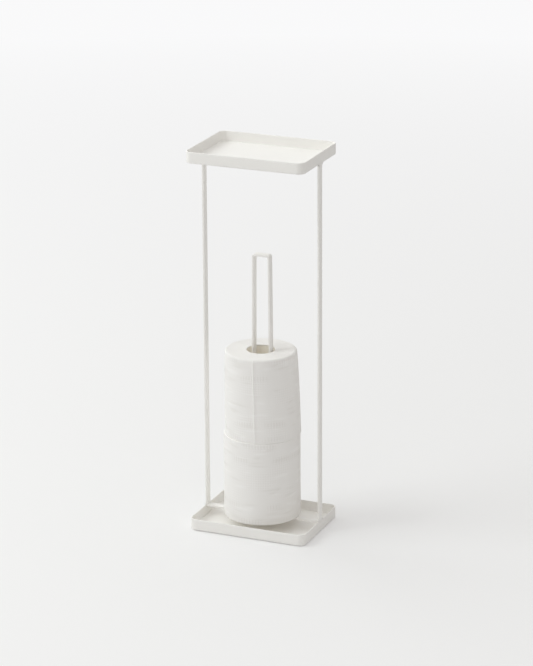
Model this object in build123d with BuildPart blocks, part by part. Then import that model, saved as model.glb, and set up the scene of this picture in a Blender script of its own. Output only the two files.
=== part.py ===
from build123d import *
import math
import os

# Toilet paper stand: two shallow pressed-steel trays joined by two flat-bar posts, a flat cross bar
# let into the rim of the lower tray, and a tall flat-bar loop on which the rolls are stacked.
# The steel pieces are welded to each other and powder coated as one.
# All sizes are millimetres. X runs along the trays, Y across them and Z up from the floor.

# Trays
tray_length = 165.0
tray_depth = 120.0
tray_corner_radius = 10.0
tray_wall_height = 15.5
tray_sheet = 1.5
tray_bend_radius = 0.6
rim_edge_chamfer = 0.3
stand_height = 520.0

# Pads under the lower tray
pad_radius = 6.0
pad_thickness = 1.0
pad_inset = 15.0
pad_edge_chamfer = 0.3

# Flat bar of the posts, the cross bar and the loop
bar_width = 10.0
bar_thickness = 3.0
bar_edge_chamfer = 0.4

# Loop that holds the rolls
loop_top_height = 376.0
loop_top_width = 25.0
loop_foot_width = 30.4
loop_bend_radius = 4.0

# Weld beads
post_weld_leg = 3.0
post_weld_inset = 0.2
post_top_edge = 0.2
loop_weld_leg = 1.5
loop_weld_end_inset = 0.5

# Paper rolls
roll_height = 114.0
lower_roll_radius = 51.2
upper_roll_radius = 50.4
roll_edge_chamfer = 1.2
paper_end_step = 0.5
winding_margin = 0.06
core_bore_radius = 19.0
core_wall = 0.8
core_seat_clearance = 0.05
core_recess = 0.4
roll_seat_gap = 0.3
lower_roll_offset = -1.2
upper_roll_offset = -0.6
lower_paper_end_angle = 150.0
upper_paper_end_angle = 279.0

# Levels and half sizes that follow from the driving dimensions
half_length = tray_length / 2
half_depth = tray_depth / 2
lower_underside = pad_thickness
lower_rim = lower_underside + tray_wall_height
bar_underside = lower_rim - bar_thickness
upper_underside = stand_height - tray_wall_height
outer_bend = tray_bend_radius + tray_sheet
post_top = upper_underside + outer_bend - math.sqrt(outer_bend**2 - (outer_bend - post_top_edge) ** 2)
lower_roll_bottom = lower_rim + roll_seat_gap
upper_roll_bottom = lower_roll_bottom + roll_height + roll_seat_gap

os.makedirs("parts", exist_ok=True)


def save(part, label):
    """Give a finished piece its name and write its file."""
    part.label = label
    export_step(part, f"parts/{label}.step")


def pressed_tray(underside):
    """Shallow tray drawn from one sheet: rounded plan corners, a bend between floor and wall, a softened rim."""
    with BuildPart() as tray:
        with BuildSketch(Plane.XY.offset(underside)):
            RectangleRounded(tray_length, tray_depth, tray_corner_radius)
        extrude(amount=tray_wall_height)
        bottom_face = tray.faces().sort_by(Axis.Z)[0]
        fillet(bottom_face.edges(), radius=outer_bend)
        top_face = tray.faces().sort_by(Axis.Z)[-1]
        offset(amount=-tray_sheet, openings=top_face)
        rim_face = tray.faces().sort_by(Axis.Z)[-1]
        chamfer(rim_face.edges(), length=rim_edge_chamfer)
    return tray


# Lower tray, with a notch in each end wall that takes the cross bar flush with the rim
base_tray = pressed_tray(lower_underside)
with BuildPart() as base_tray_notched:
    add(base_tray.part)
    with BuildSketch(Plane.XY.offset(bar_underside)):
        Rectangle(tray_length, bar_width)
    extrude(amount=tray_wall_height, mode=Mode.SUBTRACT)
save(base_tray_notched.part, "base_tray")

# Upper tray, with nothing cut into it and the posts welded below its end walls
top_tray = pressed_tray(upper_underside)
save(top_tray.part, "top_tray")

# Four thin round pads between the lower tray and the floor
with BuildPart() as foot_pads:
    with BuildSketch():
        with GridLocations(tray_length - 2 * pad_inset, tray_depth - 2 * pad_inset, 2, 2):
            Circle(pad_radius)
    extrude(amount=pad_thickness)
    chamfer(foot_pads.edges().group_by(Axis.Z)[0], length=pad_edge_chamfer)
save(foot_pads.part, "foot_pads")

# Cross bar, lying flat across the lower tray with its ends in the notches
with BuildPart() as cross_bar:
    with BuildSketch(Plane.XY.offset(bar_underside)):
        Rectangle(tray_length, bar_width)
    extrude(amount=bar_thickness)
    chamfer(cross_bar.edges().filter_by(Axis.X), length=bar_edge_chamfer)
save(cross_bar.part, "cross_bar")


# Outer form of the upper tray between its rounded corners, which cuts what is welded below it to fit
with BuildPart() as upper_tray_block:
    with BuildSketch(Plane.XZ) as end_section:
        with Locations((0, upper_underside)):
            Rectangle(tray_length, tray_wall_height, align=(Align.CENTER, Align.MIN))
        fillet(end_section.vertices().group_by(Axis.Y)[0], radius=outer_bend)
    extrude(amount=bar_width, both=True)


def post(side):
    """Flat-bar post, flush with the end walls, whose upper end is cut to the bend of the upper tray."""
    with BuildPart() as upright:
        with BuildSketch(Plane.XY.offset(lower_rim)):
            with Locations((side * (half_length - bar_thickness / 2), 0)):
                Rectangle(bar_thickness, bar_width)
        extrude(amount=post_top - lower_rim)
        chamfer(upright.edges().filter_by(Axis.Z), length=bar_edge_chamfer)
        add(upper_tray_block.part, mode=Mode.SUBTRACT)
    return upright


for post_name, post_side in (("left_post", -1), ("right_post", 1)):
    save(post(post_side).part, post_name)


def weld_outline(level, leg, upward):
    """Hollow fillet between a post's edge and the level that the post meets, above or below it."""
    edge = bar_width / 2
    with BuildSketch() as outline:
        with BuildLine():
            Line((edge, level), (edge + leg, level))
            RadiusArc((edge + leg, level), (edge, level + upward * leg), upward * leg * math.sqrt(2))
            Line((edge, level + upward * leg), (edge, level))
        make_face()
    return outline.sketch


# Welds that run both ends of each post into the trays, along both edges of the post
with BuildPart() as post_welds:
    with BuildSketch(Plane.YZ.offset(half_length - tray_sheet)):
        add(weld_outline(lower_rim, post_weld_leg, 1))
        add(weld_outline(post_top, post_weld_leg + post_top - upper_underside, -1))
    extrude(amount=tray_sheet - post_weld_inset)
    add(upper_tray_block.part, mode=Mode.SUBTRACT)
    mirror(about=Plane.XZ)
    mirror(about=Plane.YZ)
save(post_welds.part, "post_welds")

# Loop: one bar bent to a narrow hairpin that spreads a little towards its two welded feet
loop_lean = (loop_foot_width - loop_top_width) / 2 / (loop_top_height - lower_rim)
loop_spare = bar_thickness
with BuildPart() as roll_loop:
    with BuildSketch(Plane.XZ):
        with BuildLine():
            FilletPolyline(
                (-loop_foot_width / 2 - loop_lean * loop_spare, lower_rim - loop_spare),
                (-loop_top_width / 2, loop_top_height),
                (loop_top_width / 2, loop_top_height),
                (loop_foot_width / 2 + loop_lean * loop_spare, lower_rim - loop_spare),
                radius=loop_bend_radius,
            )
            offset(amount=bar_thickness, side=Side.RIGHT)
        make_face()
    extrude(amount=bar_width / 2, both=True)
    split(bisect_by=Plane.XY.offset(lower_rim), keep=Keep.TOP)
    side_faces = roll_loop.faces().sort_by(Axis.Y)
    long_edges = (side_faces[0].edges() + side_faces[-1].edges()).filter_by(
        lambda edge: edge.center().Z > lower_rim + bar_edge_chamfer
    )
    chamfer(long_edges, length=bar_edge_chamfer)
save(roll_loop.part, "roll_loop")

# Beads along the outer side of the loop's feet
with BuildPart() as loop_welds:
    with BuildSketch(Plane.XZ):
        with BuildLine():
            Polyline(
                (loop_foot_width / 2, lower_rim),
                (loop_foot_width / 2 + loop_weld_leg, lower_rim),
                (loop_foot_width / 2, lower_rim + loop_weld_leg),
                close=True,
            )
        make_face()
    extrude(amount=bar_width / 2 - loop_weld_end_inset, both=True)
    mirror(about=Plane.YZ)
save(loop_welds.part, "loop_welds")


def paper_winding(radius, centre_x, bottom, end_angle):
    """Wound paper: a spiral outline of four quarter arcs that closes with the step of the loose end."""
    turn = math.radians(end_angle)
    spiral_plane = Plane(
        origin=(centre_x, 0, bottom),
        x_dir=(math.cos(turn), math.sin(turn), 0),
        z_dir=(0, 0, 1),
    )
    quarter_step = paper_end_step / 4
    with BuildPart() as winding:
        with BuildSketch(spiral_plane):
            with BuildLine():
                CenterArc((0, 0), radius, 0, 90)
                CenterArc((0, quarter_step), radius - quarter_step, 90, 90)
                CenterArc((-quarter_step, quarter_step), radius - 2 * quarter_step, 180, 90)
                CenterArc((-quarter_step, 0), radius - 3 * quarter_step, 270, 90)
                Line((radius - paper_end_step, 0), (radius, 0))
            make_face()
        extrude(amount=roll_height)
        with BuildSketch(Plane(origin=(centre_x, 0, bottom), x_dir=(1, 0, 0), z_dir=(0, -1, 0))) as section:
            bore_radius = core_bore_radius + core_wall + core_seat_clearance
            with Locations((bore_radius, 0)):
                Rectangle(radius + winding_margin - bore_radius, roll_height, align=(Align.MIN, Align.MIN))
            chamfer(section.vertices().group_by(Axis.X)[-1], length=roll_edge_chamfer)
        revolve(axis=Axis((centre_x, 0, 0), (0, 0, 1)), mode=Mode.INTERSECT)
    return winding


def card_core(centre_x, bottom):
    """Cardboard tube, a little short of the paper at both ends."""
    with BuildPart() as core:
        with BuildSketch(Plane.XY.offset(bottom + core_recess)):
            with Locations((centre_x, 0)):
                Circle(core_bore_radius + core_wall)
                Circle(core_bore_radius, mode=Mode.SUBTRACT)
        extrude(amount=roll_height - 2 * core_recess)
    return core


for roll_name, roll_radius, roll_x, roll_bottom, loose_end in (
    ("lower_roll", lower_roll_radius, lower_roll_offset, lower_roll_bottom, lower_paper_end_angle),
    ("upper_roll", upper_roll_radius, upper_roll_offset, upper_roll_bottom, upper_paper_end_angle),
):
    save(paper_winding(roll_radius, roll_x, roll_bottom, loose_end).part, f"{roll_name}_paper")
    save(card_core(roll_x, roll_bottom).part, f"{roll_name}_core")
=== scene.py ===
import math

import bpy
import numpy as np
from mathutils import Matrix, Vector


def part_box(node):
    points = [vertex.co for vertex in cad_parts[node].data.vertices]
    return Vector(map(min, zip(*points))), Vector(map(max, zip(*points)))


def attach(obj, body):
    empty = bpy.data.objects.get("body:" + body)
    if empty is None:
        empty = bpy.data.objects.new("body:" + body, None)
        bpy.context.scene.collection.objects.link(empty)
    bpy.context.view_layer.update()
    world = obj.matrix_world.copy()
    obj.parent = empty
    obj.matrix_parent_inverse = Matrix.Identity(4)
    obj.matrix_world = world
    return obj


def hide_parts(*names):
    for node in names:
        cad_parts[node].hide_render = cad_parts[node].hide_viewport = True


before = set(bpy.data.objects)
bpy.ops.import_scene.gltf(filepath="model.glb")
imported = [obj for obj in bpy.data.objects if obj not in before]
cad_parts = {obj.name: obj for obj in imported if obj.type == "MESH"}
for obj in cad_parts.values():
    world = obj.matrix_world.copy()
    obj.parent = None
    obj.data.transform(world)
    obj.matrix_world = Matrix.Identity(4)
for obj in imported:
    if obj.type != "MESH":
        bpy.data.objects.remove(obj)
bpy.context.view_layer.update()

# Foot pads. Four thin round pads of pale soft rubber, stuck under the corners of the lower tray.
# They lift the tray a millimetre, which shows as a fine dark line along the floor.
MM = 0.001
PAD_RADIUS = 6.0 * MM
PAD_EDGE = 0.35 * MM
PAD_FACE_SHARES = (0.3, 0.7)
PAD_EDGE_STEPS = 5
PAD_COLUMNS = 48
PAD_SHARP = 40
PAD_TONES = ((0.60, 0.60, 0.58), (0.68, 0.68, 0.66))
PAD_CLOUDS = 180
PAD_ROUGHNESS = (0.72, 0.85)
PAD_GRAIN_BUMP = (0.25, 0.1 * MM)
MATT_GRAIN = 2600
GRAIN_SPAN = (0.3, 0.7)


def placed_piece(name, mesh, body, material, sharp_degrees):
    """Piece of a finished mesh, smooth but for edges sharper than an angle, on its body and in its slot."""
    mesh.polygons.foreach_set("use_smooth", np.ones(len(mesh.polygons), bool))
    mesh.set_sharp_from_angle(angle=math.radians(sharp_degrees))
    mesh.materials.append(material)
    piece = bpy.data.objects.new(name, mesh)
    bpy.context.scene.collection.objects.link(piece)
    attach(piece, body)
    return piece


def grid_piece(name, points, body, material, sharp_degrees):
    """Closed skin over a grid of points, rows by columns by xyz.
    Each row is a closed ring, neighbouring rings are joined by four-sided faces, and the first and the
    last ring are each closed by a fan to their middle. The volume under the faces, summed as the triple
    product of their corners, tells whether they point outwards, and if not all are turned round."""
    rows, columns, _ = points.shape
    middles = points[[0, -1]].mean(axis=1)
    vertices = np.concatenate([points.reshape(-1, 3), middles])
    ring = np.arange(columns)
    after = np.roll(ring, -1)
    start = (np.arange(rows - 1) * columns)[:, None]
    above = start + columns
    quads = np.stack([start + ring, start + after, above + after, above + ring], axis=-1).reshape(-1, 4)
    last = (rows - 1) * columns
    first_middle = rows * columns
    first_fan = np.stack([after, ring, np.full(columns, first_middle)], axis=-1)
    last_fan = np.stack([last + ring, last + after, np.full(columns, first_middle + 1)], axis=-1)
    fans = np.concatenate([first_fan, last_fan])
    triangles = np.concatenate([quads[:, [0, 1, 2]], quads[:, [0, 2, 3]], fans])
    a, b, c = (vertices[triangles[:, corner]] for corner in range(3))
    if np.einsum("ij,ij->i", a, np.cross(b, c)).sum() < 0:
        quads = quads[:, ::-1]
        fans = fans[:, ::-1]
    mesh = bpy.data.meshes.new(name)
    mesh.vertices.add(len(vertices))
    mesh.vertices.foreach_set("co", vertices.astype(np.float32).ravel())
    corners = np.concatenate([quads.ravel(), fans.ravel()])
    mesh.loops.add(len(corners))
    mesh.loops.foreach_set("vertex_index", corners.astype(np.int32))
    face_starts = np.concatenate([np.arange(len(quads)) * 4, quads.size + np.arange(len(fans)) * 3])
    mesh.polygons.add(len(face_starts))
    mesh.polygons.foreach_set("loop_start", face_starts.astype(np.int32))
    mesh.update(calc_edges=True)
    mesh.validate()
    return placed_piece(name, mesh, body, material, sharp_degrees)


def turned_rings(profile, centre, columns):
    """Rings of a turned form: each profile point (radius, height) goes once round the upright axis."""
    turn = np.linspace(0, 2 * np.pi, columns, endpoint=False)
    radius, height = np.asarray(profile, float).T
    x = centre[0] + radius[:, None] * np.cos(turn)
    y = centre[1] + radius[:, None] * np.sin(turn)
    z = np.broadcast_to(height[:, None], x.shape)
    return np.stack([x, y, z], axis=-1)


def quarter(centre, radius, from_degrees, to_degrees, steps):
    """Points along an arc: centre plus radius times the cosine and sine of evenly spaced angles."""
    angle = np.radians(np.linspace(from_degrees, to_degrees, steps))
    return np.stack([centre[0] + radius * np.cos(angle), centre[1] + radius * np.sin(angle)], axis=-1)


def new_material(name):
    """Empty node material with a Principled shader; returns it, its nodes, its links and the shader."""
    material = bpy.data.materials.new(name)
    material.use_nodes = True
    tree = material.node_tree
    return material, tree.nodes, tree.links, tree.nodes["Principled BSDF"]


def place_node(nodes, links, scale=(1, 1, 1)):
    """Place in the piece's own frame, in metres, through a Mapping node that can stretch it."""
    coordinate = nodes.new("ShaderNodeTexCoord")
    mapping = nodes.new("ShaderNodeMapping")
    mapping.inputs["Scale"].default_value = scale
    links.new(coordinate.outputs["Object"], mapping.inputs["Vector"])
    return mapping.outputs["Vector"]


def noise_node(nodes, links, vector, scale, detail=2.0, roughness=0.5):
    """Noise texture read at the given place; its factor output."""
    noise = nodes.new("ShaderNodeTexNoise")
    noise.inputs["Scale"].default_value = scale
    noise.inputs["Detail"].default_value = detail
    noise.inputs["Roughness"].default_value = roughness
    links.new(vector, noise.inputs["Vector"])
    return noise.outputs["Fac"]


def range_node(nodes, links, value, span, result=(0, 1)):
    """Linear map of a value from a span to a span of results, held at its ends."""
    ranger = nodes.new("ShaderNodeMapRange")
    for socket, number in zip(("From Min", "From Max", "To Min", "To Max"), (*span, *result)):
        ranger.inputs[socket].default_value = number
    links.new(value, ranger.inputs["Value"])
    return ranger.outputs["Result"]


def blend_node(nodes, links, factor, colour_a, colour_b):
    """Colour between two tones by a factor."""
    mix = nodes.new("ShaderNodeMix")
    mix.data_type = "RGBA"
    mix.inputs["A"].default_value = (*colour_a, 1)
    mix.inputs["B"].default_value = (*colour_b, 1)
    links.new(factor, mix.inputs["Factor"])
    return mix.outputs["Result"]


def bump_node(nodes, links, height, strength, distance, before=None):
    """Bump from a height value, over an earlier bump if one is given."""
    bump = nodes.new("ShaderNodeBump")
    bump.inputs["Strength"].default_value = strength
    bump.inputs["Distance"].default_value = distance
    links.new(height, bump.inputs["Height"])
    if before is not None:
        links.new(before, bump.inputs["Normal"])
    return bump.outputs["Normal"]


def pad_rubber():
    """Pale soft rubber: even tone with a faint cloudiness and a fine matt grain."""
    material, nodes, links, shader = new_material("pad_rubber")
    place = place_node(nodes, links)
    clouds = noise_node(nodes, links, place, PAD_CLOUDS, detail=3)
    links.new(blend_node(nodes, links, clouds, *PAD_TONES), shader.inputs["Base Color"])
    grain = noise_node(nodes, links, place, MATT_GRAIN, detail=3)
    links.new(range_node(nodes, links, grain, GRAIN_SPAN, PAD_ROUGHNESS), shader.inputs["Roughness"])
    links.new(bump_node(nodes, links, grain, *PAD_GRAIN_BUMP), shader.inputs["Normal"])
    return material


rubber = pad_rubber()
pads_low, pads_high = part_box("foot_pads")
pad_centres = [
    (x, y)
    for x in (pads_low.x + PAD_RADIUS, pads_high.x - PAD_RADIUS)
    for y in (pads_low.y + PAD_RADIUS, pads_high.y - PAD_RADIUS)
]
pad_inner = PAD_RADIUS - PAD_EDGE
pad_profile = np.concatenate([
    [(PAD_RADIUS * share, pads_low.z) for share in PAD_FACE_SHARES],
    quarter((pad_inner, pads_low.z + PAD_EDGE), PAD_EDGE, -90, 0, PAD_EDGE_STEPS),
    quarter((pad_inner, pads_high.z - PAD_EDGE), PAD_EDGE, 0, 90, PAD_EDGE_STEPS),
    [(PAD_RADIUS * share, pads_high.z) for share in PAD_FACE_SHARES[::-1]],
])
for index, pad_centre in enumerate(pad_centres):
    pad_rings = turned_rings(pad_profile, pad_centre, PAD_COLUMNS)
    pad = grid_piece(f"foot_pad_{index + 1}", pad_rings, "stand", rubber, PAD_SHARP)
    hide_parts("foot_pads")

# Lower tray. One sheet of steel pressed to a shallow tray with round corners, powder coated warm white.
# Each end wall is notched down to the cross bar, which is welded in there.
SHEET = 1.5 * MM
TRAY_CORNER = 10.0 * MM
FLOOR_BEND = 0.6 * MM
BAR_WIDTH = 10.0 * MM
BAR_THICKNESS = 3.0 * MM
NOTCH_EDGE = 0.02 * MM
END_WALL_FACING = 0.99
FLOOR_RINGS = (0.04, 0.3, 0.6, 0.85, 0.96)
CORNER_STEPS = 20
SIDE_STEPS = 8
WALL_STEPS = 6
BEND_STEPS = 6
ROUND_STEPS = 9
STEEL_SHARP = 50
COAT_TONES = ((0.88, 0.867, 0.84), (0.915, 0.905, 0.88))
COAT_CLOUDS = 22
COAT_ROUGHNESS = (0.44, 0.56)
COAT_GLOSS = 0.45
COAT_GRAIN_BUMP = (0.12, 0.08 * MM)
ORANGE_PEEL = 750
PEEL_BUMP = (0.16, 0.2 * MM)


def powder_coat():
    """Matt powder coat: a warm white with slow clouds of tone, orange peel of about a millimetre and a
    finer grain on top, and a roughness that follows the grain."""
    material, nodes, links, shader = new_material("powder_coat")
    place = place_node(nodes, links)
    clouds = noise_node(nodes, links, place, COAT_CLOUDS, detail=3)
    links.new(blend_node(nodes, links, clouds, *COAT_TONES), shader.inputs["Base Color"])
    peel = noise_node(nodes, links, place, ORANGE_PEEL)
    grain = noise_node(nodes, links, place, MATT_GRAIN)
    links.new(range_node(nodes, links, grain, GRAIN_SPAN, COAT_ROUGHNESS), shader.inputs["Roughness"])
    peel_bump = bump_node(nodes, links, peel, *PEEL_BUMP)
    links.new(bump_node(nodes, links, grain, *COAT_GRAIN_BUMP, peel_bump), shader.inputs["Normal"])
    shader.inputs["Specular IOR Level"].default_value = COAT_GLOSS
    return material


def tray_plan(half_length, half_depth, corner):
    """Plan of a rounded rectangle, as the foot of each radius (x, y) and its direction: round the corners
    the foot stays at the corner's centre while the direction turns, and along the sides the foot slides.
    On the end walls two stops lie close together at each edge of the notch, which cuts it square."""
    feet, angles = [], []
    signs = ((1, 1), (-1, 1), (-1, -1), (1, -1))
    centres = [(sx * (half_length - corner), sy * (half_depth - corner)) for sx, sy in signs]
    half_notch = BAR_WIDTH / 2
    outward_stops = np.array((half_notch, half_notch + NOTCH_EDGE, half_depth / 2))
    end_stops = np.concatenate([outward_stops[::-1], [0], -outward_stops])
    side_shares = np.linspace(0, 1, SIDE_STEPS)[1:-1, None]
    for index, (centre, following) in enumerate(zip(centres, centres[1:] + centres[:1])):
        feet.append(np.tile(centre, (CORNER_STEPS, 1)))
        angles.append(np.linspace(0, 90, CORNER_STEPS) + 90 * index)
        along_y = index % 2 == 1
        if along_y:
            stops = end_stops * np.sign(centre[1])
            side = np.stack([np.full(len(stops), centre[0]), stops], axis=-1)
        else:
            side = np.array(centre) * (1 - side_shares) + np.array(following) * side_shares
        feet.append(side)
        angles.append(np.full(len(side), 90.0 * (index + 1)))
    foot = np.concatenate(feet)
    angle = np.radians(np.concatenate(angles))
    return foot, np.stack([np.cos(angle), np.sin(angle)], axis=-1)


def tray_rings(low, high, notch):
    """Rings of a pressed tray. A ring lies at an inset from the outer wall and a height: each of its
    points is the plan's foot plus (corner radius less inset) times the direction. The rings run from the
    middle of the floor out, up the inner wall, over the round rim, down the outer wall and back below.
    Where the notch is, the upper rings sink by its depth in proportion to their height."""
    foot, direction = tray_plan(high.x, high.y, TRAY_CORNER)
    half_sheet = SHEET / 2
    outer_bend = FLOOR_BEND + SHEET
    wall_foot = low.z + outer_bend
    wall_head = high.z - half_sheet
    wall_heights = wall_foot + np.linspace(0, 1, WALL_STEPS)[1:-1] * (wall_head - wall_foot)
    profile = np.concatenate([
        quarter((outer_bend, wall_foot), FLOOR_BEND, 270, 180, BEND_STEPS),
        [(SHEET, height) for height in wall_heights],
        quarter((half_sheet, wall_head), half_sheet, 0, 180, ROUND_STEPS),
        [(0, height) for height in wall_heights[::-1]],
        quarter((outer_bend, wall_foot), outer_bend, 180, 270, ROUND_STEPS),
    ])
    inset, height = profile.T
    plan = foot[None] + (TRAY_CORNER - inset)[:, None, None] * direction[None]
    level = np.repeat(height[:, None], len(foot), axis=1)
    if notch:
        in_notch = (np.abs(foot[:, 1]) <= BAR_WIDTH / 2) & (np.abs(direction[:, 0]) > END_WALL_FACING)
        rise = np.clip((height - wall_foot) / (wall_head - wall_foot), 0, 1)
        level -= BAR_THICKNESS * rise[:, None] * in_notch[None]
    skin = np.concatenate([plan, level[..., None]], axis=-1)
    floor_rings = [skin[0] * (share, share, 1) for share in FLOOR_RINGS]
    under_rings = [skin[-1] * (share, share, 1) for share in FLOOR_RINGS[::-1]]
    return np.concatenate([floor_rings, skin, under_rings])


coat = powder_coat()
lower_low, lower_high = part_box("base_tray")
lower_rings = tray_rings(lower_low, lower_high, True)
lower_tray = grid_piece("lower_tray", lower_rings, "stand", coat, STEEL_SHARP)
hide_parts("base_tray")

# Cross bar. A straight piece of flat bar that lies in the notches of the end walls, level with the rim.
# Its long edges are softened, and its ends are ground flush with the walls.
BAR_EDGE = 0.7 * MM
BAR_EDGE_STEPS = 5
END_ROUND = 0.25 * MM
END_ROUND_STEPS = 4
BEND_ARC_STEPS = 12
CROSS_SPACING = 10.0 * MM


def bar_section(width, thickness, edge, steps):
    """Outline of a flat bar's section: across its thickness and along its width, with round edges."""
    half_t, half_w = thickness / 2 - edge, width / 2 - edge
    corners = ((half_t, half_w, 0), (-half_t, half_w, 90), (-half_t, -half_w, 180), (half_t, -half_w, 270))
    return np.concatenate([quarter((x, y), edge, start, start + 90, steps) for x, y, start in corners])


def bar_rings(path, normal, section, round_ends=True):
    """Rings of a flat bar whose width lies along Y. A ring is the path's point, plus the section's
    thickness along the path's normal, plus the section's width along Y. A rounded end has more rings,
    which draw the section in along a quarter circle."""
    def ring(at, across, inset=0.0):
        drawn = section - np.sign(section) * np.minimum(np.abs(section), inset)
        across_xz = drawn[:, :1] * across
        return np.stack([at[0] + across_xz[:, 0], drawn[:, 1], at[1] + across_xz[:, 1]], axis=-1)

    def end(at, beside, across):
        if not round_ends:
            return [ring(at, across)]
        outward = (at - beside) / np.linalg.norm(at - beside)
        angles = np.radians(np.linspace(0, 90, END_ROUND_STEPS))
        return [
            ring(at - outward * END_ROUND * (1 - math.cos(angle)), across, END_ROUND * (1 - math.sin(angle)))
            for angle in angles
        ]

    between = [ring(at, across) for at, across in zip(path[1:-1], normal[1:-1])]
    first_end = end(path[0], path[1], normal[0])
    last_end = end(path[-1], path[-2], normal[-1])
    return np.array(first_end + between + last_end[::-1])


def bent_path(corners, radius, spacing):
    """Centre line of a bent bar in the XZ plane: straight runs joined by arcs of one radius.
    An arc starts and ends at radius times the tangent of half the turn from its corner. Returns the
    points and the unit normals, each to the left of the line."""
    corners = np.asarray(corners, float)
    points, normals = [], []

    def run(a, b, direction):
        count = max(int(np.linalg.norm(b - a) / spacing), 1) + 1
        points.append(a + (b - a) * np.linspace(0, 1, count)[:, None])
        normals.append(np.tile((-direction[1], direction[0]), (count, 1)))

    start = corners[0]
    for before, corner, after in zip(corners, corners[1:], corners[2:]):
        incoming = (corner - before) / np.linalg.norm(corner - before)
        outgoing = (after - corner) / np.linalg.norm(after - corner)
        turn = math.atan2(incoming[0] * outgoing[1] - incoming[1] * outgoing[0], incoming @ outgoing)
        setback = radius * math.tan(abs(turn) / 2)
        entry = corner - incoming * setback
        run(start, entry, incoming)
        left = np.array((-incoming[1], incoming[0])) * math.copysign(1, turn)
        centre = entry + left * radius
        swing = np.linspace(0, turn, BEND_ARC_STEPS)[1:-1, None]
        spoke = entry - centre
        turned = np.concatenate([
            spoke[0] * np.cos(swing) - spoke[1] * np.sin(swing),
            spoke[0] * np.sin(swing) + spoke[1] * np.cos(swing),
        ], axis=1)
        points.append(centre + turned)
        normals.append(-turned / radius * math.copysign(1, turn))
        start = corner + outgoing * setback
    final = corners[-1] - corners[-2]
    run(start, corners[-1], final / np.linalg.norm(final))
    return np.concatenate(points), np.concatenate(normals)


section = bar_section(BAR_WIDTH, BAR_THICKNESS, BAR_EDGE, BAR_EDGE_STEPS)
cross_low, cross_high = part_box("cross_bar")
cross_level = (cross_low.z + cross_high.z) / 2
cross_ends = [(cross_low.x, cross_level), (cross_high.x, cross_level)]
cross_rings = bar_rings(*bent_path(cross_ends, 0, CROSS_SPACING), section)
cross_bar = grid_piece("cross_bar_coated", cross_rings, "stand", coat, STEEL_SHARP)
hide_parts("cross_bar")

# Posts. Two upright flat bars, flush with the end walls of both trays. Each stands on the end of the
# cross bar and is cut to fit round the bend below the upper tray's end wall, then welded at both ends.
JOINT_SINK = 0.35 * MM
POST_SPACING = 12.0 * MM
upper_low, upper_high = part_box("top_tray")


def under_bend(depth):
    """Height of the upper tray's underside at a depth in from its end wall: the bend's quarter circle
    up to its radius, and level from there."""
    bend = FLOOR_BEND + SHEET
    inward = np.clip(bend - np.asarray(depth, float), 0, bend)
    return upper_low.z + bend - np.sqrt(bend ** 2 - inward ** 2)


for side, post_node in ((-1, "left_post"), (1, "right_post")):
    post_low, post_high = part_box(post_node)
    centre_x = (post_low.x + post_high.x) / 2
    post_ends = [(centre_x, post_low.z), (centre_x, post_high.z)]
    post_rings = bar_rings(*bent_path(post_ends, 0, POST_SPACING), section, round_ends=False)
    post_rings[-1, :, 2] = under_bend(upper_high.x - side * post_rings[-1, :, 0]) + JOINT_SINK
    post = grid_piece(f"{post_node}_coated", post_rings, "stand", coat, STEEL_SHARP)
    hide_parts(post_node)

# Post welds. Small hollow fillets of weld metal run both edges of a post into the rim at its foot and
# into the bend of the upper tray at its head, ground smooth and coated over, so that they look like one.
WELD_LEG = 3.0 * MM
WELD_INSET = 0.04 * MM
WELD_HEAD = 1.2 * MM
WELD_ROOT = 0.15
WELD_DRAW = 0.2
WELD_CURVE_STEPS = 10
WELD_ROWS = 9


def fillet_rings(outer_x, side, edge_y, level, leg, upward, root):
    """Rings of a hollow fillet. Its outline in the wall's plane is a quarter of a circle between the
    post's edge and the level it meets, closed inside both at the root. The rings step through the
    sheet and draw the curve in at its two faces along a half circle."""
    away = math.copysign(1, edge_y)
    curve = quarter((leg, leg), leg, 180, 270, WELD_CURVE_STEPS)
    buried = -WELD_ROOT * leg
    rings = []
    for step in np.radians(np.linspace(-90, 90, WELD_ROWS)):
        depth = WELD_INSET + (SHEET - 2 * WELD_INSET) * (1 - math.sin(step)) / 2
        drawn = curve - (1 - math.cos(step)) * SHEET * WELD_DRAW
        sunk = root(depth) - level
        y = np.concatenate([drawn[:, 0], [leg, buried, buried]])
        z = np.concatenate([upward * drawn[:, 1], [sunk, sunk, upward * leg]])
        x = np.full(len(y), outer_x - side * depth)
        rings.append(np.stack([x, edge_y + away * y, level + z], axis=-1))
    return np.array(rings)


rim_level = lower_high.z
head_level = upper_low.z + WELD_HEAD
ends = (
    ("foot", rim_level, WELD_LEG, 1, lambda depth: rim_level - WELD_ROOT * WELD_LEG),
    ("head", head_level, WELD_LEG + WELD_HEAD, -1, lambda depth: under_bend(depth) + JOINT_SINK),
)
for end_name, level, leg, upward, root in ends:
    for side, side_name in ((-1, "left"), (1, "right")):
        for edge_y, edge_name in ((-BAR_WIDTH / 2, "front"), (BAR_WIDTH / 2, "back")):
            weld_rings = fillet_rings(side * lower_high.x, side, edge_y, level, leg, upward, root)
            weld_name = f"{end_name}_weld_{side_name}_{edge_name}"
            weld = grid_piece(weld_name, weld_rings, "stand", coat, STEEL_SHARP)
            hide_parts("post_welds")

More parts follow.
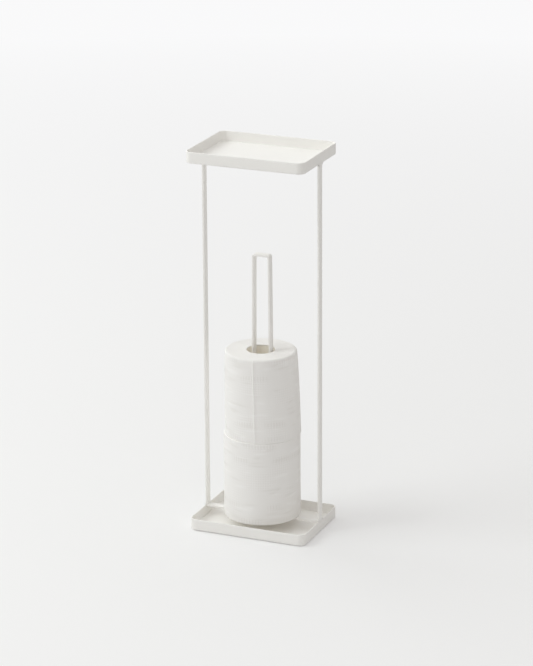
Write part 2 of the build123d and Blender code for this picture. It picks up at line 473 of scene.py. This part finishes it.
# Loop. One flat bar bent to a tall narrow hairpin that spreads a little towards its feet, welded upright
# on the cross bar. The rolls are dropped over it.
LOOP_BEND = 4.0 * MM
LOOP_TOP_WIDTH = 25.0 * MM
LOOP_SPACING = 12.0 * MM
loop_low, loop_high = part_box("roll_loop")
half_bar = BAR_THICKNESS / 2
half_foot = loop_high.x - half_bar
half_top = LOOP_TOP_WIDTH / 2 - half_bar
loop_level = loop_high.z - half_bar
loop_corners = [
    (-half_foot, loop_low.z), (-half_top, loop_level), (half_top, loop_level), (half_foot, loop_low.z),
]
loop_path, loop_normal = bent_path(loop_corners, LOOP_BEND - half_bar, LOOP_SPACING)
loop_rings = bar_rings(loop_path, loop_normal, section, round_ends=False)
loop_rings[..., 2] = np.maximum(loop_rings[..., 2], loop_low.z)
roll_loop = grid_piece("roll_loop_coated", loop_rings, "stand", coat, STEEL_SHARP)
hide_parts("roll_loop")

# Loop welds. A rippled bead of weld metal along the outer side of each of the loop's feet. The two beads
# hold the loop upright on the cross bar and are coated over with it.
BEAD_LEG = 1.5 * MM
BEAD_LENGTH = 9.0 * MM
BEAD_RIPPLES = 9
BEAD_RIPPLE_SHARE = 0.10
BEAD_END_POWER = 8
BEAD_END_LEAST = 0.02
BEAD_ROOT = 0.1
BEAD_CURVE_STEPS = 8
BEAD_ROWS = 64
BEAD_SHARP = 60


def bead_swell():
    """Places along a bead and, rows by outline points by two, its reach out from the foot's side and up
    from the bar. The outline is a quarter circle with its root sunk in both. Along the bead it is scaled
    by ripples, one less a share of the sine's size, and by ends that are the root of one less a power."""
    along = np.linspace(-1, 1, BEAD_ROWS)
    ripple = 1 - BEAD_RIPPLE_SHARE * np.abs(np.sin(np.pi * BEAD_RIPPLES * (along + 1) / 2))
    rounding = np.sqrt(np.clip(1 - along ** BEAD_END_POWER, BEAD_END_LEAST, 1))
    sunk = -BEAD_ROOT * BEAD_LEG
    root = [(sunk, BEAD_LEG), (sunk, sunk), (BEAD_LEG, sunk)]
    outline = np.concatenate([quarter((0, 0), BEAD_LEG, 0, 90, BEAD_CURVE_STEPS), root])
    return along * BEAD_LENGTH / 2, (ripple * rounding)[:, None, None] * outline[None]


bead_along, swell = bead_swell()
for side, side_name in ((-1, "left"), (1, "right")):
    bead_x = side * (loop_high.x + swell[..., 0])
    bead_y = np.broadcast_to(bead_along[:, None], bead_x.shape)
    bead_rings = np.stack([bead_x, bead_y, loop_low.z + swell[..., 1]], axis=-1)
    bead = grid_piece(f"loop_weld_{side_name}", bead_rings, "stand", coat, BEAD_SHARP)
    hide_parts("loop_welds")

# Cardboard cores. Each roll is wound on a tube of two plies of pale card, laid in a spiral and glued.
# The tube ends a little below the paper, with soft cut edges, and the upper one leans a little.
CORE_WALL = 0.8 * MM
CORE_SHORT = 1.2 * MM
CORE_LEAN = {"lower_roll": 0.0, "upper_roll": -1.8 * MM}
CORE_EDGE = 0.45
CORE_EDGE_STEPS = 5
CORE_ROWS = 12
CORE_COLUMNS = 96
CORE_SHARP = 50
CARD_TONES = ((0.88, 0.84, 0.75), (0.93, 0.90, 0.83))
CARD_MOTTLE = 240
CARD_FIBRES = 900
CARD_FIBRE_STRETCH = (1, 1, 4)
CARD_FIBRE_BUMP = (0.4, 0.2 * MM)
CARD_ROUGHNESS = 0.9


def core_card():
    """Pale recycled card: warm grey-cream, mottled, with fibres drawn out along the tube's turn."""
    material, nodes, links, shader = new_material("core_card")
    mottle = noise_node(nodes, links, place_node(nodes, links), CARD_MOTTLE, detail=4, roughness=0.6)
    links.new(blend_node(nodes, links, mottle, *CARD_TONES), shader.inputs["Base Color"])
    fibre_place = place_node(nodes, links, CARD_FIBRE_STRETCH)
    fibres = noise_node(nodes, links, fibre_place, CARD_FIBRES, detail=4, roughness=0.6)
    links.new(bump_node(nodes, links, fibres, *CARD_FIBRE_BUMP), shader.inputs["Normal"])
    shader.inputs["Roughness"].default_value = CARD_ROUGHNESS
    return material


def core_profile(low, high):
    """Profile of the tube's wall, once round it: up the bore, over the upper edge, down outside and in
    below. The paper is pressed in over its cut edges, so both ends stop a little short."""
    outer = (high.x - low.x) / 2
    inner = outer - CORE_WALL
    edge = CORE_WALL * CORE_EDGE
    foot, head = low.z + CORE_SHORT + edge, high.z - CORE_SHORT - edge
    heights = np.linspace(foot, head, CORE_ROWS)
    return np.concatenate([
        np.stack([np.full_like(heights, inner), heights], axis=-1),
        quarter((inner + edge, head), edge, 180, 90, CORE_EDGE_STEPS),
        quarter((outer - edge, head), edge, 90, 0, CORE_EDGE_STEPS),
        np.stack([np.full_like(heights, outer), heights[::-1]], axis=-1),
        quarter((outer - edge, foot), edge, 0, -90, CORE_EDGE_STEPS),
        quarter((inner + edge, foot), edge, 270, 180, CORE_EDGE_STEPS),
    ])


def tube_piece(name, rings, body, material, sharp_degrees):
    """Closed skin over rings that come back to the first one, as on a tube or a ring: a grid of
    four-sided faces with its last ring joined to the first, turned to point outwards by its volume."""
    rows, columns, _ = rings.shape
    index = np.arange(rows * columns).reshape(rows, columns)
    right = np.roll(index, -1, axis=1)
    up = np.roll(index, -1, axis=0)
    diagonal = np.roll(right, -1, axis=0)
    quads = np.stack([index, right, diagonal, up], axis=-1).reshape(-1, 4)
    vertices = rings.reshape(-1, 3)
    a, b, c, d = (vertices[quads[:, corner]] for corner in range(4))
    volume = np.einsum("ij,ij->i", a, np.cross(b, c)).sum() + np.einsum("ij,ij->i", a, np.cross(c, d)).sum()
    if volume < 0:
        quads = quads[:, ::-1]
    mesh = bpy.data.meshes.new(name)
    mesh.from_pydata(vertices.tolist(), [], quads.tolist())
    return placed_piece(name, mesh, body, material, sharp_degrees)


card = core_card()
for roll, core_lean in CORE_LEAN.items():
    core_low, core_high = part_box(f"{roll}_core")
    core_centre = ((core_low.x + core_high.x) / 2, (core_low.y + core_high.y) / 2)
    core_rings = turned_rings(core_profile(core_low, core_high), core_centre, CORE_COLUMNS)
    core_rings[..., 0] += core_lean * (core_rings[..., 2] - core_low.z) / (core_high.z - core_low.z)
    core = tube_piece(f"{roll}_card", core_rings, roll, card, CORE_SHARP)
    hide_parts(f"{roll}_core")

# Paper windings. Soft two-ply tissue wound tight on the core, with a light embossing. The outer layer
# ends in a loose edge, the layers show as fine rings on the ends, and the corners are softly rounded.
PAPER_STEP = 0.5 * MM
PAPER_COLUMNS = 374
PAPER_SHARP = 60
SIDE_ROWS = 150
END_ROWS = 30
BORE_ROWS = 8
HEAD_STEPS = 12
FOOT_STEPS = 9
LIP_STEPS = 6
BORE_PLAY = 0.05 * MM
BORE_LIP = 0.6 * MM
BORE_TUCK = 1.1 * MM
BORE_START = 2.2 * BORE_LIP
LIP_HEIGHT = 0.9 * MM
LIP_REACH = 0.022
LIP_SPAN = 0.12
LIP_COLUMNS = 24
STEP_SPAN = 1e-4
STEP_REST = 2e-5
SIDE_POWER = 8
SIDE_FADE = 0.03
WAVES = 9
WAVE_TURNS = (2, 8)
WAVE_RISES = (0.6, 3.2)
WAVE_DEPTH = 0.06 * MM
EMBOSS_PITCH = 6.4 * MM
EMBOSS_DEPTH = 0.08 * MM
EMBOSS_SHARE = (0.4, 0.45)
BOND_BANDS = (4.0 * MM, 25.0 * MM, 89.0 * MM, 110.0 * MM)
BOND_HALF_HEIGHT = 3.6 * MM
BOND_PITCH = 4.0 * MM
BOND_DEPTH = 0.22 * MM
BOND_SHARE = (0.45, 0.6)
BOND_POWER = 4
LEAST_SHARE = 0.05
CREASES = 130
CREASE_DEPTH = 0.18 * MM
CREASE_CROWDING = 0.8
CREASE_LENGTHS = (0.06, 0.25)
CREASE_WIDTHS = (0.008, 0.017)
CREASE_SLOPES = (-0.008, 0.008)
CREASE_SHARES = (0.45, 1.0)
SHOULDER_POWER = 9
RIM_START = 0.8
END_FACE = 0.49
HEAD_FACE = 0.995
LAYER_PITCH = 2.3 * MM
LAYER_DEPTH = 0.1 * MM
LAYER_WAVER = 3
LAYER_SPAN = (0.05, 0.95)
PAPER_TONES = ((0.91, 0.898, 0.88), (0.94, 0.933, 0.92))
# Painted shade: the tone the tissue is multiplied towards where it is pressed in, in place of shade in its
# grooves.
PAPER_GROOVE_SHADE = (0.93, 0.925, 0.915)
PAPER_CLOUDS = 45
PAPER_FIBRES = 1300
PAPER_LAYERS = 1500
PAPER_BUMP = (0.35, 0.3 * MM)
PAPER_ROUGHNESS = 0.95
PAPER_GLOSS = 0.15
END_FACING = (0.7, 0.95)
# Painted shade: the pressed depths at which the painted shade in the grooves starts and is full.
GROOVE_SHADE_SPAN = (0.25, 0.85)
MAKES = {
    "lower_roll": {
        "seed": 11, "loose_end": math.radians(150), "swell": 0.0, "taper": 0.2 * MM, "shoulder": 0.0,
        "shift": (0.0, 0.0), "lean": 0.0, "head_corner": 1.5 * MM, "foot_corner": 0.9 * MM,
        "dish": 0.2 * MM, "rim_rise": 0.28 * MM,
    },
    "upper_roll": {
        "seed": 23, "loose_end": math.radians(279), "swell": 0.2 * MM, "taper": 1.6 * MM,
        "shoulder": 1.3 * MM, "shift": (0.6 * MM, 0.6 * MM), "lean": -2.7 * MM,
        "head_corner": 3.0 * MM, "foot_corner": 0.3 * MM, "dish": 0.3 * MM, "rim_rise": 0.0,
    },
}


def toned_node(nodes, links, factor, colour, tone):
    """Colour multiplied by a tone, as far as a factor says."""
    mix = nodes.new("ShaderNodeMix")
    mix.data_type = "RGBA"
    mix.blend_type = "MULTIPLY"
    mix.inputs["B"].default_value = (*tone, 1)
    links.new(factor, mix.inputs["Factor"])
    links.new(colour, mix.inputs["A"])
    return mix.outputs["Result"]


def math_node(nodes, links, operation, *terms):
    """Math node on its terms, each of them a fixed number or a linked value."""
    node = nodes.new("ShaderNodeMath")
    node.operation = operation
    for socket, term in zip(node.inputs, terms):
        if isinstance(term, float):
            socket.default_value = term
        else:
            links.new(term, socket)
    return node.outputs["Value"]


def vector_node(nodes, links, operation, vector, other=None):
    """Vector Math node on a linked vector and, where one is given, a fixed one; the node itself."""
    node = nodes.new("ShaderNodeVectorMath")
    node.operation = operation
    links.new(vector, node.inputs[0])
    if other is not None:
        node.inputs[1].default_value = other
    return node


def tissue(name, centre):
    """Embossed tissue: warm white, a fine fibrous grain and, on the end faces, fine rings round the
    roll's axis from a noise read along the distance to it. How level a face lies picks between them.
    What is pressed in is painted a little darker. This is painted shade in its creases, embossing and ticks."""
    material, nodes, links, shader = new_material(name)
    place = place_node(nodes, links)
    clouds = noise_node(nodes, links, place, PAPER_CLOUDS, detail=3)
    centred = vector_node(nodes, links, "SUBTRACT", place, (centre[0], centre[1], 0))
    flat = vector_node(nodes, links, "MULTIPLY", centred.outputs["Vector"], (1, 1, 0))
    reach = vector_node(nodes, links, "LENGTH", flat.outputs["Vector"])
    layers = nodes.new("ShaderNodeTexNoise")
    layers.noise_dimensions = "1D"
    layers.inputs["Scale"].default_value = PAPER_LAYERS
    layers.inputs["Detail"].default_value = 3
    links.new(reach.outputs["Value"], layers.inputs["W"])
    split = nodes.new("ShaderNodeSeparateXYZ")
    links.new(nodes.new("ShaderNodeNewGeometry").outputs["Normal"], split.inputs["Vector"])
    facing = math_node(nodes, links, "ABSOLUTE", split.outputs["Z"])
    fibres = noise_node(nodes, links, place, PAPER_FIBRES, detail=4, roughness=0.65)
    grain = nodes.new("ShaderNodeMix")
    grain.data_type = "FLOAT"
    links.new(range_node(nodes, links, facing, END_FACING), grain.inputs["Factor"])
    links.new(fibres, grain.inputs["A"])
    links.new(layers.outputs["Fac"], grain.inputs["B"])
    half_clouds = range_node(nodes, links, clouds, (0, 1), (0, 0.5))
    tone = math_node(nodes, links, "MULTIPLY_ADD", grain.outputs["Result"], 0.5, half_clouds)
    sheet = blend_node(nodes, links, tone, *PAPER_TONES)
    # Painted shade: the pressed-in depth darkens the tissue's colour in creases, embossing and ticks.
    pressed = nodes.new("ShaderNodeAttribute")
    pressed.attribute_name = "pressed"
    groove_shade = range_node(nodes, links, pressed.outputs["Fac"], GROOVE_SHADE_SPAN)
    links.new(toned_node(nodes, links, groove_shade, sheet, PAPER_GROOVE_SHADE), shader.inputs["Base Color"])
    links.new(bump_node(nodes, links, grain.outputs["Result"], *PAPER_BUMP), shader.inputs["Normal"])
    shader.inputs["Roughness"].default_value = PAPER_ROUGHNESS
    shader.inputs["Specular IOR Level"].default_value = PAPER_GLOSS
    return material


def turn_columns():
    """Angles round the roll from the loose end on: close together over the lip of the loose end, then
    even, and twice at the very end, where the layer below steps back up to the edge."""
    lip = np.linspace(0, LIP_SPAN, LIP_COLUMNS)
    even = np.linspace(LIP_SPAN, 2 * np.pi - STEP_SPAN, PAPER_COLUMNS)[1:]
    return np.concatenate([lip, even, [2 * np.pi - STEP_REST]])[None]


def bell(distance, width):
    """Smooth bump of height one: e to the minus square of distance over width."""
    return np.exp(-((distance / width) ** 2))


def winding_profile(low, high, radius, bore, head, foot):
    """Radii and heights once round a wound roll's section: up the side, in over the upper end, down the
    bore and out below. The corners are quarter circles, and the bore's two are drawn in over the core."""
    rise = np.linspace(0, 1, SIDE_ROWS)[1:-1]
    out = np.linspace(0, 1, END_ROWS)[1:-1]
    drop = np.linspace(1, 0, BORE_ROWS)
    inner, upper_outer, lower_outer = bore - BORE_TUCK + BORE_LIP, radius - head, radius - foot
    side_top, side_foot = high.z - head, low.z + foot
    tube_top, tube_foot = high.z - BORE_START, low.z + BORE_START
    return np.concatenate([
        np.stack([np.full(len(rise), radius), side_foot + rise * (side_top - side_foot)], axis=-1),
        quarter((upper_outer, side_top), head, 0, 90, HEAD_STEPS),
        np.stack([upper_outer + (inner - upper_outer) * out, np.full(len(out), high.z)], axis=-1),
        quarter((inner, high.z - BORE_LIP), BORE_LIP, 90, 180, LIP_STEPS),
        np.stack([np.full(len(drop), bore), tube_foot + drop * (tube_top - tube_foot)], axis=-1),
        quarter((inner, low.z + BORE_LIP), BORE_LIP, 180, 270, LIP_STEPS),
        np.stack([inner + (lower_outer - inner) * out, np.full(len(out), low.z)], axis=-1),
        quarter((lower_outer, side_foot), foot, -90, 0, FOOT_STEPS),
    ])


def winding_relief(generator, turned, radius, level, foot_level, share):
    """Relief of the paper's side, and slow waves of it. The relief adds up an embossing, the product of
    two slanted sines that comes and goes in patches, bands of short ticks that bond the plies, each a
    bell along the height times a power of a cosine round the roll, and short creases, each a bell along
    the height and one round the roll. Waves and patches are sums of sines round times cosines along."""
    around = turned * radius
    patches = np.zeros_like(share * turned)
    waves = np.zeros_like(patches)
    for _ in range(WAVES):
        turns, rises = generator.integers(*WAVE_TURNS), generator.uniform(*WAVE_RISES)
        phases = generator.uniform(0, 2 * np.pi, 4)
        patches += np.sin(turns * turned + phases[0]) * np.cos(2 * np.pi * rises * share + phases[1])
        waves += WAVE_DEPTH * np.sin(turns * turned + phases[2]) * np.cos(np.pi * rises * share + phases[3])
    emboss_share, bond_share = (
        np.clip(middle + swing * patches, LEAST_SHARE, 1) for middle, swing in (EMBOSS_SHARE, BOND_SHARE)
    )
    slant = 2 * np.pi / EMBOSS_PITCH
    emboss = np.sin(slant * (around + level)) * np.sin(slant * (around - level))
    relief = EMBOSS_DEPTH * emboss * emboss_share
    ticks = np.cos(np.pi * around / BOND_PITCH) ** BOND_POWER
    for band in BOND_BANDS:
        relief -= BOND_DEPTH * bell(level - foot_level - band, BOND_HALF_HEIGHT) * bond_share * ticks
    for _ in range(CREASES):
        at_turn = generator.uniform(0, 2 * np.pi)
        at_share = generator.beta(CREASE_CROWDING, CREASE_CROWDING)
        length, width = generator.uniform(*CREASE_LENGTHS), generator.uniform(*CREASE_WIDTHS)
        slope = generator.uniform(*CREASE_SLOPES)
        depth = CREASE_DEPTH * generator.choice([-1, 1]) * generator.uniform(*CREASE_SHARES)
        away = np.angle(np.exp(1j * (turned - at_turn)))
        relief += depth * bell(away, length) * bell(share - at_share - slope * away / length, width)
    return relief, waves


def winding_rings(low, high, centre, radius, bore, make, bore_lean):
    """Rings of a wound roll, and how deep each point is pressed in, from 0 to 1, which the tissue uses for
    painted shade.
    Round the roll, the side's radius falls by one step from the loose end on, as a spiral, and first
    rises to a rounded lip: distance times e to the minus distance. The side's relief and waves are added
    to it, and it narrows with the height and, as a power of it, at the shoulder. The end faces are
    dished by half a sine, with low rings on the upper one, whose rim can rise. All leans with height."""
    generator = np.random.default_rng(make["seed"])
    profile = winding_profile(low, high, radius, bore, make["head_corner"], make["foot_corner"])
    reach, level = profile[:, :1], profile[:, 1:]
    turn = turn_columns()
    turned = turn + make["loose_end"]
    outside = np.clip((reach - bore) / (radius - bore), 0, 1)
    share = (level - low.z) / (high.z - low.z)
    spiral = LIP_HEIGHT * turn / LIP_REACH * np.exp(1 - turn / LIP_REACH) - PAPER_STEP * turn / (2 * np.pi)
    spiral[:, -1] = spiral[:, 0]
    on_side = outside ** SIDE_POWER * np.clip(np.minimum(share, 1 - share) / SIDE_FADE, 0, 1)
    relief, waves = winding_relief(generator, turned, radius, level, low.z, share)
    shape = make["swell"] - make["taper"] * share - make["shoulder"] * share ** SHOULDER_POWER
    radial = reach + (spiral + shape) * outside + (relief + waves) * on_side
    upward = np.where(share > 0.5, 1, -1)
    bow = make["dish"] * np.sin(np.pi * outside) * upward * (np.abs(share - 0.5) > END_FACE)
    on_layers = (share > HEAD_FACE) * (outside > LAYER_SPAN[0]) * (outside < LAYER_SPAN[1])
    layers = np.sin(2 * np.pi * reach / LAYER_PITCH + LAYER_WAVER * np.sin(2 * turned))
    rim = np.clip((outside - RIM_START) / (1 - RIM_START), 0, 1) * (upward > 0)
    lean = make["lean"] * outside + bore_lean * (1 - outside)
    x = centre[0] + radial * np.cos(turned) + make["shift"][0] * outside + lean * share
    y = centre[1] + radial * np.sin(turned) + make["shift"][1] * outside
    z = level - bow - LAYER_DEPTH * layers * on_layers + make["rim_rise"] * rim
    # How deep each point is pressed in, which the tissue turns into painted shade in the grooves.
    pressed = (1 - np.clip(relief / CREASE_DEPTH * on_side, -1, 1)) / 2
    return np.stack([x, y, z], axis=-1), pressed


for roll, make in MAKES.items():
    paper_low, paper_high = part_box(f"{roll}_paper")
    core_low, core_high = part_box(f"{roll}_core")
    centre = ((core_low.x + core_high.x) / 2, (core_low.y + core_high.y) / 2)
    radius = (paper_high.x - paper_low.x + paper_high.y - paper_low.y) / 4 + PAPER_STEP / 4
    bore = (core_high.x - core_low.x) / 2 + BORE_PLAY
    rings, pressed = winding_rings(paper_low, paper_high, centre, radius, bore, make, CORE_LEAN[roll])
    cover = tissue(f"{roll}_tissue", centre)
    paper = tube_piece(f"{roll}_tissue", rings, roll, cover, PAPER_SHARP)
    # The pressed depth goes on the mesh, where the tissue reads it for its painted shade.
    press = paper.data.attributes.new("pressed", "FLOAT", "POINT")
    press.data.foreach_set("value", pressed.astype(np.float32).ravel())
    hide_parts(f"{roll}_paper")

# Upper tray. The same pressing as the lower one, in the same coat but without the notches. It stands on
# the posts' heads and is held there by their welds.
upper_rings = tray_rings(upper_low, upper_high, False)
upper_tray = grid_piece("upper_tray", upper_rings, "stand", coat, STEEL_SHARP)
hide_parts("top_tray")

# Setting. A wide pale floor under soft light from the left and above, bright all round, and a camera
# that looks down on the stand's front and right side from a few metres away.
FLOOR_HALF = 20.0
FLOOR_TONE = (0.86, 0.86, 0.86)
FLOOR_ROUGHNESS = 0.95
FLOOR_SHOW = 0.75
FLOOR_GLOW = 0.245
FAR_GLOW = (0.95, 0.95, 0.955)
FAR_SPAN = (0.2, 3.0)
WORLD_TONE = (1.0, 0.963, 0.935)
WORLD_STRENGTH = (0.43, 0.58)
LIGHT_BOUNCES = 20
LAMP_TONE = (0.955, 1.0, 0.997)
LAMP_AIM = (0.0, 0.0, 0.25)
LAMPS = {
    "key": ((-2.1, -1.3, 2.6), 1.8, 38.0),
    "overhead": ((-0.3, 0.2, 3.2), 3.0, 16.0),
    "left_back": ((-2.6, 1.0, 1.8), 2.0, 16.5),
    "front": ((0.6, -2.6, 2.2), 2.0, 7.0),
}
CAMERA_PLACE = (1.4460, -3.4033, 1.4893)
CAMERA_YAW = 22.93
CAMERA_PITCH = 17.0
CAMERA_ROLL = -0.32
CAMERA_LENS = 160.58
CAMERA_SENSOR = 36
CAMERA_SHIFT_Y = -0.1
CAMERA_REACH = 60


def seen_ray(nodes, links):
    """One for a ray from the camera, off a gloss or through a glass, else nought."""
    path = nodes.new("ShaderNodeLightPath")
    seen = path.outputs["Is Camera Ray"]
    for kind in ("Is Glossy Ray", "Is Transmission Ray"):
        seen = math_node(nodes, links, "MAXIMUM", seen, path.outputs[kind])
    return seen


def mixed_shader(nodes, links, factor, first, second):
    """One shader passing into another as far as a factor says."""
    mix = nodes.new("ShaderNodeMixShader")
    links.new(factor, mix.inputs["Fac"])
    links.new(first, mix.inputs[1])
    links.new(second, mix.inputs[2])
    return mix.outputs["Shader"]


def floor_sheet():
    """Matt white floor. What the camera, a gloss or a glass sees of it is its lit colour, held back a
    little and lifted by a steady glow, and further from the stand it passes into an even bright tone."""
    material, nodes, links, shader = new_material("floor_sheet")
    shader.inputs["Base Color"].default_value = (*FLOOR_TONE, 1)
    shader.inputs["Roughness"].default_value = FLOOR_ROUGHNESS
    shader.inputs["Specular IOR Level"].default_value = 0.0
    near = nodes.new("ShaderNodeBsdfDiffuse")
    near.inputs["Color"].default_value = (*(tone * FLOOR_SHOW for tone in FLOOR_TONE), 1)
    glow = nodes.new("ShaderNodeEmission")
    glow.inputs["Strength"].default_value = FLOOR_GLOW
    lifted = nodes.new("ShaderNodeAddShader")
    links.new(near.outputs["BSDF"], lifted.inputs[0])
    links.new(glow.outputs["Emission"], lifted.inputs[1])
    far = nodes.new("ShaderNodeEmission")
    far.inputs["Color"].default_value = (*FAR_GLOW, 1)
    distance = vector_node(nodes, links, "LENGTH", place_node(nodes, links))
    away = range_node(nodes, links, distance.outputs["Value"], FAR_SPAN)
    seen = mixed_shader(nodes, links, away, lifted.outputs["Shader"], far.outputs["Emission"])
    surface = mixed_shader(nodes, links, seen_ray(nodes, links), shader.outputs["BSDF"], seen)
    links.new(surface, nodes["Material Output"].inputs["Surface"])
    return material


def bright_surround():
    """Even warm white light from all round, a little stronger from above than from the sides. What the
    camera, a gloss or a glass sees of it is the same bright tone as the far floor."""
    world = bpy.data.worlds.new("surround")
    world.use_nodes = True
    nodes, links = world.node_tree.nodes, world.node_tree.links
    light = nodes["Background"]
    light.inputs["Color"].default_value = (*WORLD_TONE, 1)
    split = nodes.new("ShaderNodeSeparateXYZ")
    links.new(nodes.new("ShaderNodeTexCoord").outputs["Generated"], split.inputs["Vector"])
    strength = range_node(nodes, links, split.outputs["Z"], (0, 1), WORLD_STRENGTH)
    links.new(strength, light.inputs["Strength"])
    far = nodes.new("ShaderNodeBackground")
    far.inputs["Color"].default_value = (*FAR_GLOW, 1)
    lit, seen = light.outputs["Background"], far.outputs["Background"]
    surface = mixed_shader(nodes, links, seen_ray(nodes, links), lit, seen)
    links.new(surface, nodes["World Output"].inputs["Surface"])
    return world


def placed_matrix(place, right, up, forward):
    """Matrix of something at a place that looks along its forward direction."""
    return Matrix.Translation(place) @ Matrix(np.stack([right, up, -forward], axis=1).tolist()).to_4x4()


def area_light(name, place, size, power):
    """Square soft light at a place, turned to face the middle of the stand."""
    data = bpy.data.lights.new(name, "AREA")
    data.shape = "SQUARE"
    data.size = size
    data.energy = power
    data.color = LAMP_TONE
    lamp = bpy.data.objects.new(name, data)
    bpy.context.scene.collection.objects.link(lamp)
    forward = np.array(LAMP_AIM) - np.array(place)
    forward = forward / np.linalg.norm(forward)
    right = np.cross(forward, (0, 0, 1))
    right = right / np.linalg.norm(right)
    lamp.matrix_world = placed_matrix(place, right, np.cross(right, forward), forward)


floor_mesh = bpy.data.meshes.new("floor")
floor_corners = [(x * FLOOR_HALF, y * FLOOR_HALF, 0.0) for x, y in ((-1, -1), (1, -1), (1, 1), (-1, 1))]
floor_mesh.from_pydata(floor_corners, [], [(0, 1, 2, 3)])
floor_mesh.materials.append(floor_sheet())
floor = bpy.data.objects.new("floor", floor_mesh)
bpy.context.scene.collection.objects.link(floor)

bpy.context.scene.world = bright_surround()
bpy.context.scene.cycles.max_bounces = LIGHT_BOUNCES
bpy.context.scene.cycles.diffuse_bounces = LIGHT_BOUNCES
for lamp_name, (lamp_place, lamp_size, lamp_power) in LAMPS.items():
    area_light(lamp_name, lamp_place, lamp_size, lamp_power)

camera_data = bpy.data.cameras.new("camera")
camera = bpy.data.objects.new("camera", camera_data)
bpy.context.scene.collection.objects.link(camera)
bpy.context.scene.camera = camera
camera_data.sensor_width = CAMERA_SENSOR
camera_data.lens = CAMERA_LENS
camera_data.shift_y = CAMERA_SHIFT_Y
camera_data.clip_end = CAMERA_REACH
yaw, pitch, roll_angle = (math.radians(angle) for angle in (CAMERA_YAW, CAMERA_PITCH, CAMERA_ROLL))
forward = np.array((-math.sin(yaw) * math.cos(pitch), math.cos(yaw) * math.cos(pitch), -math.sin(pitch)))
level_right = np.array((math.cos(yaw), math.sin(yaw), 0))
right = level_right * math.cos(roll_angle) + np.cross(level_right, forward) * math.sin(roll_angle)
camera.matrix_world = placed_matrix(CAMERA_PLACE, right, np.cross(right, forward), forward)

bpy.context.scene.view_settings.view_transform = "Standard"
